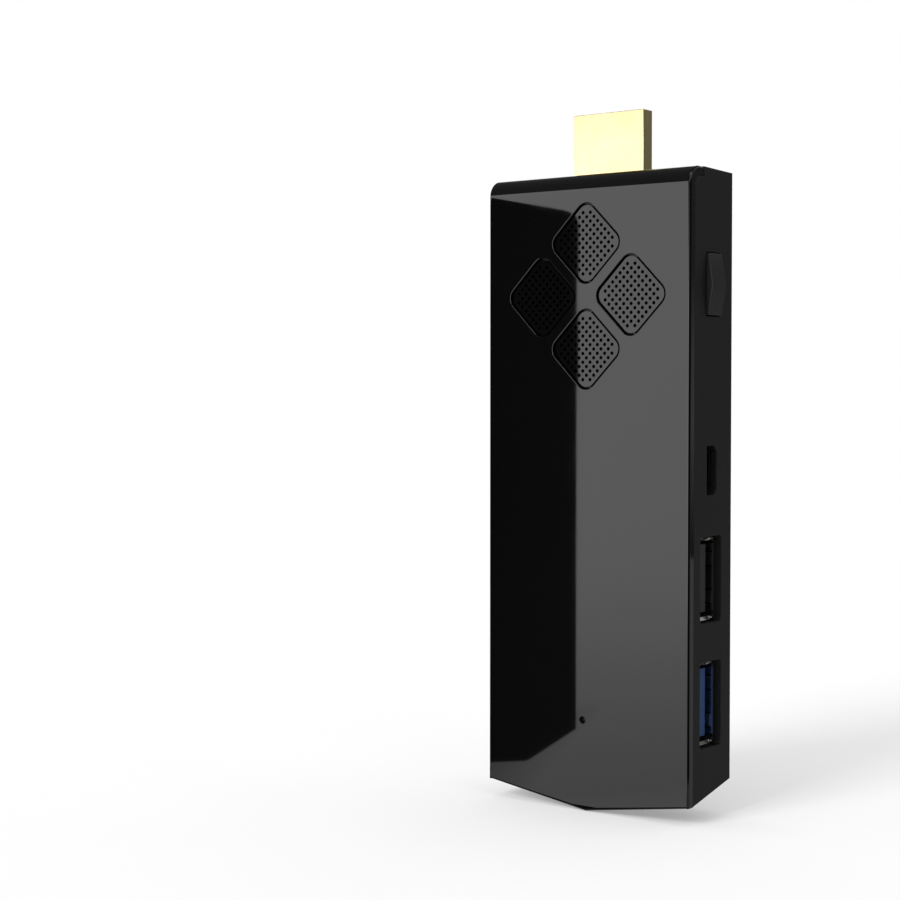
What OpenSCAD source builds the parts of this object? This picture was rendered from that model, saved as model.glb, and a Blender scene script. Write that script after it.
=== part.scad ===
// Stick computer: a slim two-part case with a video plug, side sockets, a fan and a power button.
// Axes: +X to the right seen from the front, +Y from the front face to the back, +Z up to the plug.
// The origin is on the plug's middle line, level with the plug end of the case.
// Helpers take d, the depth behind the front face, and s, the distance down from the plug end.

/* [Case] */
// Width of the case across its front
case_w = 40; // [39:0.5:44]
// Thickness of the case from front to back
case_t = 13.8; // [13:0.1:15]
// Length of the case along its side edges
case_l = 103; // [102:0.5:110]
// How far the pointed end stands out past the side edges
point_h = 3; // [2:0.5:4]
// Thickness of the side walls
side_wall = 1.6; // [1.4:0.1:1.8]
// Thickness of the back wall
back_wall = 1.5; // [1.2:0.1:1.7]
// Thickness of the walls at both ends
end_wall = 1.6; // [1.4:0.1:1.8]
// How far the pointed end leans towards the plug between the cover and the back
end_lean = 3; // [2:0.5:4]
// How far the plug end falls between the cover's lip and the back
top_fall = 0.35; // [0.1:0.05:0.5]
// Rounding of the shell's long back edges
shell_edge_r = 0.8; // [0.4:0.1:1.2]

/* [Front cover] */
// Thickness of the cover sheet
cover_t = 1.5; // [1.3:0.1:1.7]
// Outer radius of the cover's roll over the plug end
roll_r = 3; // [2.5:0.1:3.5]
// Depth of the cover's lip at the plug end
lip_depth = 4.1; // [3.8:0.1:4.4]
// Open joint between the lip and the rear shell
lip_gap = 0.3; // [0.2:0.05:0.4]
// Rounding of the cover's long front edges
cover_edge_r = 0.5; // [0.3:0.1:0.8]
// Width of a snap hook along the case
hook_w = 5; // [4:0.5:5.5]
// Thickness of a snap hook
hook_t = 1; // [0.8:0.1:1.2]
// Reach of a snap hook behind the cover
hook_l = 3; // [2.6:0.1:3.4]
// Height of a snap hook's barb
hook_barb = 0.45; // [0.3:0.05:0.6]

/* [Vent grille] */
// Side of a window in the cover
window_side = 10.6; // [9.8:0.1:11]
// Corner radius of a window
window_r = 2.1; // [1.6:0.1:3]
// Distance of each window from the middle of the four
window_offset = 8.75; // [8.5:0.05:9]
// Distance of the four windows' middle from the plug end
window_s = 20.35; // [20:0.05:21.5]
// Open joint round each perforated face
grille_gap = 0.35; // [0.2:0.05:0.4]
// How far the perforated faces lie below the cover's face
grille_inset = 0.3; // [0.2:0.05:0.5]
// Thickness of the perforated faces
grille_skin = 0.8; // [0.6:0.1:0.9]
// Thickness of the plate that carries the faces behind the cover
grille_plate = 0.6; // [0.5:0.1:0.8]
// Wall round the hollow behind each perforated face
grille_rim = 0.45; // [0.3:0.05:0.5]
// Width of the plate outside the windows
grille_margin = 1.2; // [0.8:0.1:1.5]
// Diameter of a vent hole
hole_d = 0.6; // [0.4:0.05:0.7]
// Distance between vent holes
hole_pitch = 1.02; // [0.9:0.01:1.04]
// Vent holes along one side of a window
hole_count = 9; // [5:2:9]

/* [Side vents and strap hole] */
// Length of a vent slot
slot_l = 8; // [6:0.5:8.5]
// Height of a vent slot
slot_h = 1.8; // [1.2:0.1:2.2]
// Distance between vent slots
slot_pitch = 4.1; // [3.5:0.1:4.5]
// Depth of the vent slots' middle
slot_depth = 6.9; // [6.4:0.1:7.4]
// Distance of the upper group's middle slot from the plug end
upper_slots_s = 21.4; // [20:0.1:23]
// Distance of the lower group's middle slot from the end of the side edges
lower_slots_end = 50.8; // [49:0.1:53]
// Side of the square strap hole
strap_size = 3.4; // [2.8:0.1:3.6]
// Corner radius of the strap hole
strap_r = 0.5; // [0.3:0.1:0.8]
// Depth of the strap hole's middle
strap_depth = 4.5; // [4.4:0.1:4.8]
// Distance of the strap hole from the end of the side edges
strap_end = 8.3; // [7.5:0.1:9]
// Wall of the strap duct inside the case
duct_wall = 1; // [0.8:0.1:1.2]

/* [Video plug] */
// Width of the plug
hdmi_w = 13.9; // [13.8:0.05:14]
// Height of the plug
hdmi_h = 4.45; // [4.4:0.05:4.55]
// Height of the plug's straight sides
hdmi_side = 2.65; // [2.3:0.05:3]
// Width of the plug's narrow face
hdmi_back_w = 9.9; // [9.4:0.1:10.4]
// Length of the plug outside the case
hdmi_out = 10.6; // [10:0.1:12]
// Length of the plug's shell inside the case
hdmi_in = 3; // [2.6:0.1:3.4]
// Sheet thickness of the plug's shell
hdmi_sheet = 0.35; // [0.3:0.05:0.4]
// Depth of the plug's middle line and of the board's middle
plug_depth = 8.9; // [8.8:0.05:9.1]

/* [Board] */
// Thickness of the main board
board_t = 1; // [0.8:0.1:1.2]
// Gap between the board's edges and the side walls
board_gap = 0.4; // [0.3:0.1:0.6]
// Distance of the board's top edge from the plug end
board_top = 4.2; // [4.2:0.1:4.6]
// Width and length of the processor package
cpu_size = 14; // [12:0.5:15]
// Height of the processor with its die
cpu_h = 1.2; // [1:0.1:1.4]
// Thickness of the thermal pad
pad_t = 0.5; // [0.3:0.1:0.7]
// Width and length of a memory chip
memory_size = 7.5; // [7:0.5:8]
// Height of the plain chips
chip_h = 1; // [0.8:0.1:1.2]
// Distance of the indicator to the right of the case's middle line
led_x = -0.5; // [-1:0.1:1]
// Distance of the indicator from the end of the side edges
led_end = 12.2; // [11:0.1:13]
// Diameter of the indicator's light pipe
led_d = 1; // [0.8:0.1:1.4]
// Depth of the light pipe's end below the front face
led_recess = 0.7; // [0.1:0.1:1]

/* [Sockets] */
// Depth of the large sockets' middle
port_depth = 6.95; // [6.8:0.05:7.1]
// Width of a large socket's metal shell
usb_w = 13.1; // [12.9:0.1:13.3]
// Height of a large socket's metal shell
usb_h = 5.7; // [5.6:0.05:5.8]
// Length of a large socket
usb_l = 14; // [13:0.5:14.5]
// Sheet thickness of the large sockets' shells
usb_sheet = 0.3; // [0.25:0.05:0.35]
// Gap between a large socket and its opening in the case
usb_cut_gap = 0.45; // [0.3:0.05:0.5]
// Depth of the large sockets' mouths below the side face
usb_recess = 1.1; // [0.6:0.1:1.7]
// Thickness of a large socket's tongue
tongue_t = 1.84; // [1.7:0.02:2]
// Distance of the blue socket from the end of the side edges
usb3_end = 16.05; // [15.5:0.05:16.5]
// Distance between the blue and the black socket
usb_pitch = 20.35; // [20:0.05:21]
// Width of the small power socket
micro_w = 7.5; // [7.3:0.1:7.7]
// Height of the small power socket
micro_h = 2.6; // [2.5:0.05:2.8]
// Length of the small power socket
micro_l = 5.6; // [5:0.1:6]
// Sheet thickness of the small power socket
micro_sheet = 0.25; // [0.2:0.05:0.3]
// Gap between the small power socket and its opening in the case
micro_cut_gap = 0.25; // [0.2:0.05:0.35]
// Distance between the black socket and the small power socket
micro_pitch = 17.7; // [17:0.1:18.5]
// Width of the card socket
card_w = 14.2; // [14:0.1:14.6]
// Length of the card socket
card_l = 14.4; // [13.5:0.1:15]
// Height of the card socket above the board
card_h = 2.5; // [2.3:0.1:2.7]
// Height of the card's channel
card_channel = 1.1; // [0.9:0.1:1.2]
// Sheet thickness of the card socket's lid
card_sheet = 0.25; // [0.2:0.05:0.3]
// Distance of the card socket from the end of the side edges
card_end = 22; // [21.5:0.1:22.5]
// Length of the card slot in the case
card_slot_l = 12.4; // [11.4:0.1:12.8]
// Height of the card slot in the case
card_slot_h = 1.6; // [1.2:0.1:1.8]

/* [Power button] */
// Length of the button along the case
button_l = 10; // [9:0.5:11]
// Width of the button
button_w = 4.2; // [3.8:0.1:4.6]
// Height of the button's ridge above the case
button_ridge = 1.15; // [0.8:0.05:1.4]
// Height of the button's ends above the case
button_end = 0.35; // [0.35:0.05:0.5]
// Gap round the button in its opening
button_gap = 0.15; // [0.1:0.05:0.25]
// Depth of the button's middle
button_depth = 7.35; // [7.2:0.05:7.5]
// Distance of the button from the plug end
button_s = 18.8; // [18.4:0.1:19.2]
// Thickness of the flange that keeps the button in
button_flange_t = 0.8; // [0.6:0.1:1]
// Length of the stem that reaches the switch
button_stem = 1; // [0.8:0.1:1.2]

/* [Fan] */
// Side of the fan's square frame
fan_size = 27; // [25:0.5:27]
// Height of the fan's frame with its floor
fan_h = 3.5; // [3.4:0.1:3.8]
// Thickness of the fan's floor
fan_floor = 0.6; // [0.5:0.1:0.7]
// Thickness of the fan's lid
fan_lid_t = 0.4; // [0.3:0.1:0.5]
// Least wall of the fan's frame
fan_wall = 1.2; // [1:0.1:1.4]
// Gap between the moving and the fixed parts of the fan
fan_gap = 0.3; // [0.25:0.05:0.35]
// Radius of the fan's hub
hub_r = 6.2; // [5.8:0.1:6.6]
// Thickness of the hub's disc and its skirt
hub_t = 0.5; // [0.4:0.1:0.6]
// Blades on the rotor
blade_count = 13; // [9:2:15]
// Thickness of a blade
blade_t = 0.5; // [0.4:0.1:0.7]
// Angle by which the blades lean back
blade_lean = 38; // [20:1:45]
// Diameter of the fan's shaft
shaft_d = 1.5; // [1.2:0.1:1.6]
// Outer diameter of the fan's bearing
bearing_d = 3; // [2.8:0.1:3.2]
// Clearance of the shaft in its bearing on the radius
shaft_clear = 0.03; // [0.02:0.01:0.06]

/* [Heat sink and fasteners] */
// Thickness of the heat sink's base
sink_base = 1.2; // [1:0.1:1.4]
// Fins on the heat sink
fin_count = 12; // [8:1:14]
// Thickness of a fin
fin_t = 0.6; // [0.5:0.1:0.8]
// Diameter of a screw
screw_d = 1.3; // [1.2:0.1:1.4]
// Diameter of a screw's head
screw_head_d = 2.8; // [2.4:0.1:3]
// Height of a screw's head
screw_head_h = 0.8; // [0.6:0.1:0.9]
// Diameter of a screw boss
boss_d = 4; // [3.6:0.1:4.2]

/* [Hidden] */
$fn = 48;

// Clearance between fixed pieces, and a cut's overshoot past a face
fit = 0.05;
over = 1;

// Case walls
side_x = case_w / 2;
in_x = side_x - side_wall;
back_d = case_t - back_wall;
lip_end = lip_depth + lip_gap;
tip_s = case_l + point_h;
end_slope_x = point_h / side_x;
end_slope_d = end_lean / (case_t - cover_t);
end_steep = sqrt(1 + pow(end_slope_x, 2) + pow(end_slope_d, 2));
shelf_s = cover_t + fit + end_wall;
roof_s = top_fall + end_wall;
mouth_x = in_x - 2 * fit;
usb_mouth_x = side_x - usb_recess;
usb_back_x = usb_mouth_x - usb_l;

// Places along the case as distances from the plug end
usb3_s = case_l - usb3_end;
usb2_s = usb3_s - usb_pitch;
micro_s = usb2_s - micro_pitch;
card_s = case_l - card_end;
led_s = case_l - led_end;
strap_s = case_l - strap_end;
lower_slots_s = case_l - lower_slots_end;

// Snap hooks as side and distance from the plug end, each midway between two openings
hooks = [
    [1, (button_s + micro_s) / 2], [1, (usb2_s + usb3_s) / 2],
    [-1, (upper_slots_s + lower_slots_s) / 2], [-1, (lower_slots_s + card_s) / 2]
];
hook_gap = 0.15;
hook_barb_l = 1.3;
hook_tip = cover_t + hook_l;
hook_catch = hook_tip - hook_barb_l;
hook_room = 0.2;

// Grille, worked out on axes turned with the windows
window_step = window_offset * sqrt(2);
face_side = window_side - 2 * grille_gap;
face_r = window_r - grille_gap;
plate_side = window_step + window_side + 2 * grille_margin;
plate_r = window_r + grille_margin;
plate_back = cover_t + grille_plate;
plate_w = 2 * (in_x - 2 * fit);

// Board
board_front = plug_depth - board_t / 2;
board_back = plug_depth + board_t / 2;
board_x = in_x - board_gap;
board_end_gap = 0.5;
board_end = case_l - end_slope_d * (board_back - cover_t) - end_wall * end_steep - board_end_gap;
notch_gap = 0.2;

// Fan
fan_s = window_s;
fan_front_gap = 0.4;
fan_front = plate_back + fan_front_gap;
fan_top = fan_front + fan_lid_t;
fan_back = fan_top + fan_h;
fan_floor_d = fan_back - fan_floor;
fan_corner = 2;
fan_room_r = fan_size / 2 - fan_wall;
fan_mouth_w = 18;
fan_foot_r = 1.8;
fan_hole = fan_size / 2 - fan_corner;
lid_edge = fan_wall / 2;
lid_rim = 3.3;
lid_eye_r = fan_room_r - lid_rim;
rotor_r = fan_room_r - 2 * fan_gap;
hub_boss_h = 0.2;
hub_front = fan_top + fan_gap;
hub_back = fan_floor_d - fan_gap;
hub_boss_back = hub_front + hub_t + hub_boss_h;
blade_back = hub_back - 2 * fit;
tube_front = hub_boss_back + fan_gap;
tube_wall = 0.7;
tube_r = bearing_d / 2 + tube_wall;
magnet_t = 0.6;
magnet_r = hub_r - hub_t - fit / 2;
stator_r = magnet_r - magnet_t - fan_gap;
stator_front = tube_front + fan_gap;
stator_back = fan_floor_d - fan_gap;
stator_ring = 0.6;
pole_count = 6;
pole_w = 0.9;
coil_l = 1.1;
coil_w = 0.25;
press = 0.005;

// Heat sink and processor
sink_side_gap = 1.8;
sink_gap = 1.2;
sink_x0 = sink_side_gap - in_x;
sink_x1 = mouth_x - micro_l - sink_gap;
sink_s0 = fan_s + fan_size / 2 + sink_gap;
sink_s1 = usb2_s - usb_w / 2 - sink_gap;
sink_back = board_front - cpu_h - pad_t;
sink_seat = sink_back - sink_base;
sink_front_gap = 0.9;
sink_front = cover_t + sink_front_gap;
sink_corner = 2;
cpu_x = (sink_x0 + sink_x1) / 2;
cpu_s = (sink_s0 + sink_s1) / 2;
cpu_rim = 3;
cpu_die_h = 0.3;
cpu_die = cpu_size - 2 * cpu_rim;
pad_edge = 0.5;

// Screws as places [x, s]
screw_gap = 0.15;
screw_head_room = 0.6;
screw_cross_l = 1.7;
screw_cross_w = 0.45;
pilot_gap = 0.03;
pilot_r = screw_d / 2 + pilot_gap;
pilot_skin = 0.9;
pilot_end = case_t - pilot_skin;
screw_tip_gap = 0.3;
screw_end = pilot_end - screw_tip_gap;
board_screw_edge = 2.6;
board_screw_x = board_screw_edge - in_x;
board_screw_drop = 4.4;
end_screw_shift = 1.7;
end_screw_x = led_x + end_screw_shift;
end_screw_up = 1.9;
fan_points = [[fan_hole, fan_s - fan_hole], [-fan_hole, fan_s + fan_hole]];
sink_points = [
    [sink_x0 + sink_corner, sink_s0 + sink_corner],
    [sink_x1 - sink_corner, sink_s1 - sink_corner]
];
board_points = [
    [board_screw_x, usb2_s + board_screw_drop],
    [end_screw_x, board_end - end_screw_up]
];
all_points = concat(fan_points, sink_points, board_points);

// Chips and small parts on the board
memory_gap = 0.5;
storage_size = [11, 10];
storage_x = board_screw_x + screw_head_d / 2 + screw_head_room + storage_size[0] / 2;
controller_size = [6, 6];
controller_edge = 7.4;
controller_x = in_x - controller_edge;
controller_rise = 6;
controller_s = micro_s - controller_rise;
inductor_size = [4, 4];
inductor_h = 2;
inductor_count = 2;
inductor_step = 5.2;
inductor_inset = 2;
inductor_x = usb_back_x + inductor_inset;
capacitor_size = [1.6, 0.8];
capacitor_h = 0.8;
capacitor_count = 4;
capacitor_step = 2;
capacitor_edge = 4;
capacitor_x = mouth_x - capacitor_edge;
capacitor_rise = 1.6;
capacitor_s = micro_s - micro_w / 2 - capacitor_rise;
led_size = [1.6, 0.8];
led_h = 0.6;
collar_t = 0.8;
collar_w = 0.7;

// Power button and its switch
flange_edge = 0.6;
button_r = 0.3;
flange_x = mouth_x - button_flange_t;
stem_x = flange_x - button_stem;
switch_out = 0.5;
switch_x = stem_x - fit - switch_out;
switch_l = 2.2;
switch_w = 4.6;
switch_h = 1.5;
switch_d = board_front - switch_h / 2;
plunger_w = 1.6;
plunger_t = 0.8;
plunger_in = 0.9;
plunger_room = 0.5;

// Video plug
hdmi_leg = 5;
hdmi_leg_h = 1.2;
hdmi_fit = 0.15;
hdmi_slant = atan2(hdmi_h - hdmi_side, (hdmi_w - hdmi_back_w) / 2);
hdmi_slot_w = 11.4;
hdmi_slot_h = 1.5;
hdmi_slot_floor = 0.6;
hdmi_tip_gap = 0.8;
hdmi_block_s = board_top - notch_gap;
hdmi_contact_w = 0.4;
hdmi_contact_gap = 1.6;
hdmi_pitch = 1;
hdmi_foot = 2.6;
contact_t = 0.25;
contact_fit = 0.03;

// Large sockets
usb_corner = 0.6;
usb_block_l = 4.4;
tongue_drop = 0.65;
tongue_depth = port_depth + tongue_drop;
tongue_face = tongue_depth - tongue_t / 2;
tongue_w = 11.1;
tongue_back = 0.9;
leaf_w = 2.1;
leaf_l = 3.4;
leaf_slit = 0.25;
leaf_root = 0.2;
leaf_at = 3.1;
leaf_from_mouth = 0.3;
leaf_bend = 10;
ear_l = 2.5;
ear_w = 1.4;
ear_from_mouth = 9.6;
flare_l = 0.5;
flare_w = 3.9;
flare_root = 0.1;
flare_bend = 60;
usb_contact_w = 1;
usb_contact_back = 3.9;
usb_bend_gap = 0.35;
usb_bend_x = usb_back_x - usb_bend_gap;
usb_foot = 1.2;
usb2_rows = [-3.5, -1, 1, 3.5];
usb3_rows = [-4, -2, 0, 2, 4];
usb3_tip_w = 0.6;
usb3_tip = [3.4, 1.5];

// Small power socket
micro_depth = board_front - micro_h / 2;
micro_back_x = mouth_x - micro_l;
micro_chamfer = [0.8, 1.05];
micro_tongue_w = 3.7;
micro_tongue_t = 0.6;
micro_tongue_back = 1;
micro_block_l = 1.6;
micro_face = micro_depth + micro_tongue_t;
micro_contact_w = 0.3;
micro_contact_t = 0.2;
micro_contact_back = 1.6;
micro_foot = 1;
micro_rows = [-1.3, -0.65, 0, 0.65, 1.3];

// Card socket
card_x = -mouth_x;
card_rail = 1;
card_front = board_front - card_h;
card_floor_d = card_front + card_sheet + card_channel;
card_slot_depth = card_floor_d - card_channel / 2;
card_slot_r = 0.3;
card_contact = [4, 0.7, 0.2];
card_contact_gap = 0.3;
card_rows = [-3.85, -2.75, -1.65, -0.55, 0.55, 1.65, 2.75, 3.85];

// Radio on the back of the board
wifi_size = 12;
wifi_edge = 10;
wifi_x = wifi_edge - board_x;
wifi_rise = 1;
wifi_s = card_s - wifi_rise;
wifi_board_t = 0.7;
wifi_top = board_back + wifi_board_t;
can_size = [10.4, 8.4];
can_h = 1.1;
can_sheet = 0.25;
can_edge = 0.5;
can_s = wifi_s - (wifi_size - can_size[1]) / 2 + can_edge;
socket_r = 0.9;
socket_h = 0.8;
socket_edge = 1.3;
socket_s = wifi_s + wifi_size / 2 - socket_edge;
antenna_size = [10, 7];
antenna_t = 0.3;
antenna_pad = 1.2;
antenna_gap = 5;
antenna_top = wifi_s + wifi_size / 2 + antenna_gap;
antenna_s = antenna_top + antenna_size[1] / 2;
lead_r = 0.35;
lead_depth = wifi_top + socket_h / 2;

// Clock battery on the back of the board
cell_r = 6.25;
cell_t = 1.6;
cell_foot = 0.2;
cell_foot_r = 5.25;
cell_x = 4;
cell_drop = 3.6;
cell_s = fan_s + cell_drop;
cell_top = board_back + cell_foot + cell_t;
clip_t = 0.25;
clip_w = 4;
clip_gap = 0.2;

// Fan lead
lead_bend = 0.5;
lead_run = 0.6;
lead_drop = 7.5;
lead_s = fan_s + lead_drop;
lead_step = 1.3;
connector_size = [1.6, 4];
connector_x = -(fan_size / 2 + lead_run + lead_bend);
connector_front = fan_floor_d + lead_bend;

// Place along the depth axis
function at_y(d) = d - plug_depth;

// Two ends of a stretch about its middle
function about(middle, length) = [middle - length / 2, middle + length / 2];

// Corners of the plug's outline in width and depth, drawn in by an inset
function plug_outline(inset) =
    let (
        w = hdmi_w / 2 - inset,
        front = plug_depth - hdmi_h / 2 + inset,
        knee = plug_depth - hdmi_h / 2 + hdmi_side - inset * tan((90 - hdmi_slant) / 2),
        back_w = hdmi_back_w / 2 - inset * tan(hdmi_slant / 2),
        back = plug_depth + hdmi_h / 2 - inset
    )
    [[-w, front], [w, front], [w, knee], [back_w, back], [-back_w, back], [-w, knee]];

// Corners of the small socket's outline in depth and length about its middle, grown by a margin
function micro_outline(grow) =
    let (
        h = micro_h / 2 + grow,
        w = micro_w / 2 + grow,
        knee = h - micro_chamfer[0],
        end = w - micro_chamfer[1]
    )
    [[-h, -w], [-h, w], [knee, w], [h, end], [h, -end], [knee, -w]];

// Box between two widths, two depths and two distances from the plug end
module block(x, d, s) {
    translate([x[0], at_y(d[0]), -s[1]])
        cube([x[1] - x[0], d[1] - d[0], s[1] - s[0]]);
}

// Box of a given width and length about a place on the board, between two depths
module chip(x, s, size, d) {
    block(about(x, size[0]), d, about(s, size[1]));
}

// Round pin along the depth
module pin(x, s, d0, d1, r) {
    translate([x, at_y(d0), -s])
        rotate([-90, 0, 0])
            cylinder(h = d1 - d0, r = r);
}

// Flat shape in width and height, given thickness between two depths
module slab(d0, d1) {
    translate([0, at_y(d1), 0])
        rotate([90, 0, 0])
            linear_extrude(d1 - d0)
                children();
}

// Flat shape in depth and height, drawn out between two widths
module bar(x0, x1) {
    translate([x0, at_y(0), 0])
        rotate([90, 0, 90])
            linear_extrude(x1 - x0)
                children();
}

// Flat shape in width and depth, drawn out between two distances from the plug end
module column(s0, s1) {
    translate([0, at_y(0), -s1])
        linear_extrude(s1 - s0)
            children();
}

// Rounded rectangle about its middle
module rounded(w, h, r) {
    square([w - 2 * r, h], center = true);
    square([w, h - 2 * r], center = true);
    for (x = [-1, 1], y = [-1, 1])
        translate([x * (w / 2 - r), y * (h / 2 - r)])
            circle(r = r);
}

// Slot with round ends about its middle
module capsule(l, h) {
    square([l - h, h], center = true);
    for (x = [-1, 1])
        translate([x * (l - h) / 2, 0])
            circle(d = h);
}

// Copies a piece of the right side to a given side
module on_side(side) {
    mirror([side < 0 ? 1 : 0, 0, 0])
        children();
}

// Everything past the pointed end, for a given slope along the depth and lift towards the plug
module past_point(slope_d, lift) {
    steep = sqrt(1 + pow(end_slope_x, 2) + pow(slope_d, 2));
    reach = 2 * case_w;
    for (side = [-1, 1])
        on_side(side)
            translate([0, at_y(cover_t), lift - tip_s])
                rotate([asin(slope_d / steep), -atan(end_slope_x), 0])
                    translate([-reach, -reach, -reach])
                        cube([2 * reach, 2 * reach, reach]);
}

// The four windows' places, each with its shape drawn about its middle
module each_window() {
    translate([0, -window_s])
        rotate(45)
            for (x = [-1, 1], y = [-1, 1])
                translate([x, y] * window_step / 2)
                    children();
}

// Front cover: a sheet with a rolled plug end, a square-cut point, windows and snap hooks
module cover_profile() {
    translate([0, -tip_s - over])
        square([cover_t, tip_s + over - roll_r]);
    translate([roll_r, -cover_t])
        square([lip_depth - roll_r, cover_t]);
    intersection() {
        translate([roll_r, -roll_r])
            difference() {
                circle(r = roll_r);
                circle(r = roll_r - cover_t);
            }
        translate([0, -roll_r])
            square(roll_r);
    }
}

module cover_plan() {
    translate([-side_x, cover_edge_r])
        square([case_w, lip_depth]);
    translate([cover_edge_r - side_x, 0])
        square([case_w - 2 * cover_edge_r, cover_edge_r]);
    for (side = [-1, 1])
        translate([side * (side_x - cover_edge_r), cover_edge_r])
            circle(r = cover_edge_r);
}

module hook(s) {
    x = in_x - hook_gap;
    ends = about(s, hook_w);
    block([x - hook_t, x], [cover_t - fit, hook_tip], ends);
    column(ends[0], ends[1])
        polygon([[x - fit, hook_catch], [x + hook_barb, hook_catch], [x - fit, hook_tip]]);
}

module front_cover() {
    color("#0b0b0d") {
        difference() {
            intersection() {
                bar(-side_x, side_x)
                    cover_profile();
                column(-over, tip_s + over)
                    cover_plan();
            }
            past_point(0, 0);
            slab(-over, cover_t + over)
                each_window()
                    rounded(window_side, window_side, window_r);
            pin(led_x, led_s, -over, cover_t + over, led_d / 2 + fit);
        }
        for (h = hooks)
            on_side(h[0])
                hook(h[1]);
    }
}

// Rear shell: a tray with a leaning point, side openings, screw bosses and the strap duct
module shell_profile() {
    polygon([
        [cover_t, -tip_s - over], [cover_t, -roll_r], [roll_r, -roll_r], [roll_r, -cover_t - fit],
        [lip_end, -cover_t - fit], [lip_end, 0], [case_t, -top_fall], [case_t, -tip_s - over]
    ]);
    translate([roll_r, -roll_r])
        circle(r = roll_r - cover_t - fit);
}

module shell_plan() {
    translate([-side_x, 0])
        square([case_w, case_t - shell_edge_r]);
    translate([shell_edge_r - side_x, 0])
        square([case_w - 2 * shell_edge_r, case_t]);
    for (side = [-1, 1])
        translate([side * (side_x - shell_edge_r), case_t - shell_edge_r])
            circle(r = shell_edge_r);
}

module cavity_profile() {
    step_d = lip_end + end_wall;
    polygon([
        [0, -tip_s - over], [0, -shelf_s], [step_d, -shelf_s],
        [step_d, -roof_s], [back_d, -roof_s], [back_d, -tip_s - over]
    ]);
}

module shell_block() {
    difference() {
        intersection() {
            bar(-side_x, side_x)
                shell_profile();
            column(-over, tip_s + over)
                shell_plan();
        }
        past_point(end_slope_d, 0);
    }
}

module shell_cavity() {
    difference() {
        bar(-in_x, in_x)
            cavity_profile();
        past_point(end_slope_d, end_wall * end_steep);
    }
}

module strap_duct() {
    size = strap_size + 2 * duct_wall;
    intersection() {
        block(
            [-side_x, strap_size + duct_wall - in_x],
            about(strap_depth, size),
            [strap_s - size / 2, tip_s]
        );
        shell_block();
    }
}

module strap_way() {
    bar(-side_x - over, strap_size - in_x)
        translate([strap_depth, -strap_s])
            rounded(strap_size, strap_size, strap_r);
    block([-in_x, strap_size - in_x], about(strap_depth, strap_size), [strap_s, tip_s + over]);
}

module left_openings() {
    bar(-side_x - over, -in_x + over) {
        for (s = [upper_slots_s, lower_slots_s], row = [-1, 0, 1])
            translate([slot_depth, -s - row * slot_pitch])
                capsule(slot_l, slot_h);
        translate([card_slot_depth, -card_s])
            rounded(card_slot_h, card_slot_l, card_slot_r);
    }
}

module right_openings() {
    bar(in_x - over, side_x + over) {
        for (s = [usb2_s, usb3_s])
            translate([port_depth, -s])
                rounded(usb_h + 2 * usb_cut_gap, usb_w + 2 * usb_cut_gap, usb_corner);
        translate([micro_depth, -micro_s])
            polygon(micro_outline(micro_cut_gap));
        translate([button_depth, -button_s])
            rounded(button_w + 2 * button_gap, button_l + 2 * button_gap, button_r);
    }
}

module hook_pocket(s) {
    block(
        [in_x - fit, in_x - hook_gap + hook_barb + hook_room],
        [hook_catch - 2 * fit, hook_tip + hook_room],
        about(s, hook_w + 2 * hook_room)
    );
}

module rear_shell() {
    boss_root = back_d + back_wall / 4;
    color("#1c1c1e")
        difference() {
            union() {
                difference() {
                    shell_block();
                    shell_cavity();
                }
                for (p = all_points)
                    pin(p[0], p[1], board_back, boss_root, boss_d / 2);
                strap_duct();
            }
            for (p = all_points)
                pin(p[0], p[1], board_back - over, pilot_end, pilot_r);
            for (h = hooks)
                on_side(h[0])
                    hook_pocket(h[1]);
            column(-over, shelf_s + over)
                polygon(plug_outline(-hdmi_fit));
            left_openings();
            right_openings();
            strap_way();
        }
}

// Vent grille: one plate behind the cover with four perforated faces that stand in the windows
module vent_holes() {
    last = hole_count - 1;
    for (i = [0:last], j = [0:last])
        if (!((i == 0 || i == last) && (j == 0 || j == last)))
            translate([i - last / 2, j - last / 2] * hole_pitch)
                circle(d = hole_d);
}

module vent_grille() {
    hollow = face_side - 2 * grille_rim;
    color("#141416")
        difference() {
            union() {
                slab(cover_t, plate_back)
                    translate([0, -window_s])
                        intersection() {
                            rotate(45)
                                rounded(plate_side, plate_side, plate_r);
                            square([plate_w, 2 * plate_side], center = true);
                        }
                slab(grille_inset, cover_t + grille_plate / 2)
                    each_window()
                        rounded(face_side, face_side, face_r);
            }
            slab(grille_inset + grille_skin, plate_back + over)
                each_window()
                    rounded(hollow, hollow, face_r - grille_rim);
            slab(grille_inset - over, plate_back)
                each_window()
                    vent_holes();
        }
}

// Light pipe: a rod from the indicator to the front, with a collar behind the cover
module light_pipe() {
    color("#30343a") {
        pin(led_x, led_s, led_recess, board_front - led_h - 2 * fit, led_d / 2);
        pin(led_x, led_s, cover_t, cover_t + collar_t, led_d / 2 + collar_w);
    }
}

// Power button: a roof-shaped key with a flange behind the wall and a stem to the switch
module power_button() {
    half = button_l / 2;
    flange_ends = [flange_x, flange_x + button_flange_t];
    flange_w = button_w + 2 * flange_edge;
    flange_l = button_l + 2 * flange_edge;
    color("#1f1f22") {
        slab(button_depth - button_w / 2, button_depth + button_w / 2)
            translate([0, -button_s])
                polygon([
                    [flange_x, -half], [side_x + button_end, -half], [side_x + button_ridge, 0],
                    [side_x + button_end, half], [flange_x, half]
                ]);
        block(flange_ends, about(button_depth, flange_w), about(button_s, flange_l));
        block([stem_x, flange_x + fit], about(switch_d, plunger_t), about(button_s, plunger_w));
    }
}

// The plunger's box, grown by a margin and reaching a given way into the switch
module plunger_block(grow, way_in) {
    block(
        [switch_x - way_in, switch_x + switch_out],
        about(switch_d, plunger_t + 2 * grow),
        about(button_s, plunger_w + 2 * grow)
    );
}

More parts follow.
